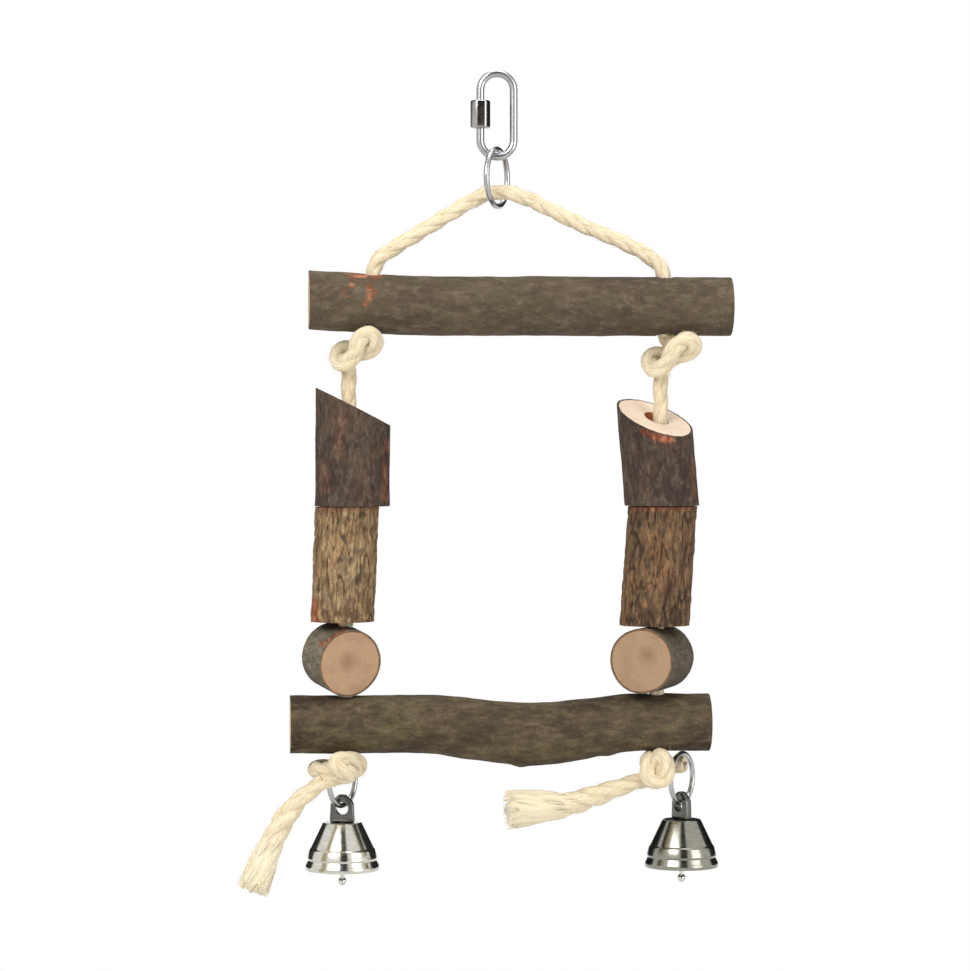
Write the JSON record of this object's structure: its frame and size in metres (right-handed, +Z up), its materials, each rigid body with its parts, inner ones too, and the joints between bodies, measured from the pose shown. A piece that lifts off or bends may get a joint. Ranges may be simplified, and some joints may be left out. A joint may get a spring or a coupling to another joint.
{
  "type": "bird swing",
  "caption": "Hanging bird swing: branch bar and perch joined by knotted rope columns threaded with bark blocks, with bells below and a quick link on top.",
  "frame": {"origin": "inside of the quick link's upper bow, where it hangs from a cage bar", "axes": "+X along the bars to the viewer's right, +Y away from the viewer, +Z up"},
  "size_m": [0.1949, 0.0438, 0.324],
  "materials": {
    "steel": "zinc plated wire, bright",
    "ring_wire": "nickel plated wire",
    "bell_nickel": "nickel plated sheet, bright",
    "rope": "laid natural fibre rope",
    "bar_bark": "grey brown bark, raw",
    "dark_bark": "dark bark, raw",
    "rough_bark": "rough furrowed bark, raw",
    "log_bark": "smooth bark with sawn faces"
  },
  "bodies": {
    "quick_link": {"quick_link_body": "steel"},
    "link_nut": {"quick_link_nut": "steel"},
    "hanging_ring": {"hanging_ring": "steel"},
    "top_bar": {"top_bar": "bar_bark", "rope_yoke": "rope", "upper_left_knot": "rope", "upper_right_knot": "rope"},
    "necks": {"left_neck": "rope", "right_neck": "rope"},
    "left_column": {"left_column_rope": "rope"},
    "right_column": {"right_column_rope": "rope"},
    "perch": {"perch": "bar_bark", "lower_left_knot": "rope", "lower_right_knot": "rope", "left_tail": "rope", "right_tail": "rope", "left_fray": "rope", "right_fray": "rope"},
    "left_upper_block": {"left_upper_block": "dark_bark"},
    "left_middle_block": {"left_middle_block": "rough_bark"},
    "left_log_slice": {"left_log_slice": "log_bark"},
    "left_bell_ring": {"left_bell_ring": "ring_wire"},
    "left_bell": {"left_bell_cup": "bell_nickel", "left_bell_hanger": "bell_nickel"},
    "left_clapper": {"left_clapper": "bell_nickel"},
    "right_upper_block": {"right_upper_block": "dark_bark"},
    "right_middle_block": {"right_middle_block": "rough_bark"},
    "right_log_slice": {"right_log_slice": "log_bark"},
    "right_bell_ring": {"right_bell_ring": "ring_wire"},
    "right_bell": {"right_bell_cup": "bell_nickel", "right_bell_hanger": "bell_nickel"},
    "right_clapper": {"right_clapper": "bell_nickel"}
  },
  "joints": [
    {"name": "nut_screw_travel", "type": "slide", "parent": "quick_link", "child": "link_nut", "axis": [0, 0, 1], "range_m": [-0.0045, 0]},
    {"name": "ring_swing", "type": "hinge", "parent": "quick_link", "child": "hanging_ring", "pos_m": [0, 0, -0.0309], "axis": [1, 0, 0], "range_deg": [-40, 40]},
    {"name": "yoke_sway", "type": "hinge", "parent": "hanging_ring", "child": "top_bar", "pos_m": [0, 0, -0.05015], "axis": [0, 1, 0], "range_deg": [-25, 25]},
    {"name": "perch_swing", "type": "hinge", "parent": "top_bar", "child": "necks", "pos_m": [0, 0, -0.1195], "axis": [1, 0, 0], "range_deg": [-30, 30]},
    {"name": "column_sway", "type": "hinge", "parent": "necks", "child": "left_column", "pos_m": [-0.0594, 0, -0.1265], "axis": [0, 1, 0], "range_deg": [-6, 6]},
    {"name": "right_column_sway", "type": "hinge", "parent": "necks", "child": "right_column", "pos_m": [0.0626, 0, -0.1265], "axis": [0, 1, 0], "range_deg": [-6, 6]},
    {"name": "perch_level", "type": "hinge", "parent": "left_column", "child": "perch", "pos_m": [-0.0594, 0, -0.2408], "axis": [0, 1, 0], "range_deg": [-6, 6]},
    {"name": "left_upper_block_spin", "type": "hinge", "parent": "left_column", "child": "left_upper_block", "pos_m": [-0.0594, 0, -0.15], "axis": [0, 0, 1], "continuous": true},
    {"name": "left_middle_block_spin", "type": "hinge", "parent": "left_column", "child": "left_middle_block", "pos_m": [-0.0594, 0, -0.19], "axis": [0, 0, 1], "continuous": true},
    {"name": "left_log_turn", "type": "hinge", "parent": "left_column", "child": "left_log_slice", "pos_m": [-0.0594, 0, -0.227], "axis": [0, 0, 1], "range_deg": [-40, 18]},
    {"name": "right_upper_block_spin", "type": "hinge", "parent": "right_column", "child": "right_upper_block", "pos_m": [0.0626, 0, -0.15], "axis": [0, 0, 1], "continuous": true},
    {"name": "right_middle_block_spin", "type": "hinge", "parent": "right_column", "child": "right_middle_block", "pos_m": [0.0626, 0, -0.19], "axis": [0, 0, 1], "continuous": true},
    {"name": "right_log_turn", "type": "hinge", "parent": "right_column", "child": "right_log_slice", "pos_m": [0.0626, 0, -0.227], "axis": [0, 0, 1], "range_deg": [-30, 60]},
    {"name": "left_bell_ring_swing", "type": "hinge", "parent": "perch", "child": "left_bell_ring", "pos_m": [-0.06015, 0.00774, -0.2693], "axis": [0.829, -0.5592, 0], "range_deg": [-25, 25]},
    {"name": "left_bell_swing", "type": "hinge", "parent": "left_bell_ring", "child": "left_bell", "pos_m": [-0.06015, 0.00774, -0.2843], "axis": [0.5592, 0.829, 0], "range_deg": [-35, 35]},
    {"name": "left_clapper_swing", "type": "hinge", "parent": "left_bell", "child": "left_clapper", "pos_m": [-0.06015, 0.00774, -0.29615], "axis": [0.9848, -0.1736, 0], "range_deg": [-32, 32]},
    {"name": "right_bell_ring_swing", "type": "hinge", "parent": "perch", "child": "right_bell_ring", "pos_m": [0.07369, 0.00759, -0.2693], "axis": [0.829, -0.5592, 0], "range_deg": [-25, 25]},
    {"name": "right_bell_swing", "type": "hinge", "parent": "right_bell_ring", "child": "right_bell", "pos_m": [0.07369, 0.00759, -0.2843], "axis": [0.5592, 0.829, 0], "range_deg": [-35, 35]},
    {"name": "right_clapper_swing", "type": "hinge", "parent": "right_bell", "child": "right_clapper", "pos_m": [0.07369, 0.00759, -0.29615], "axis": [0.5, -0.866, 0], "range_deg": [-32, 32]}
  ],
  "couplings": [
    {"joint": "right_column_sway", "follows": "column_sway", "ratio": 1},
    {"joint": "perch_level", "follows": "column_sway", "ratio": -1}
  ]
}
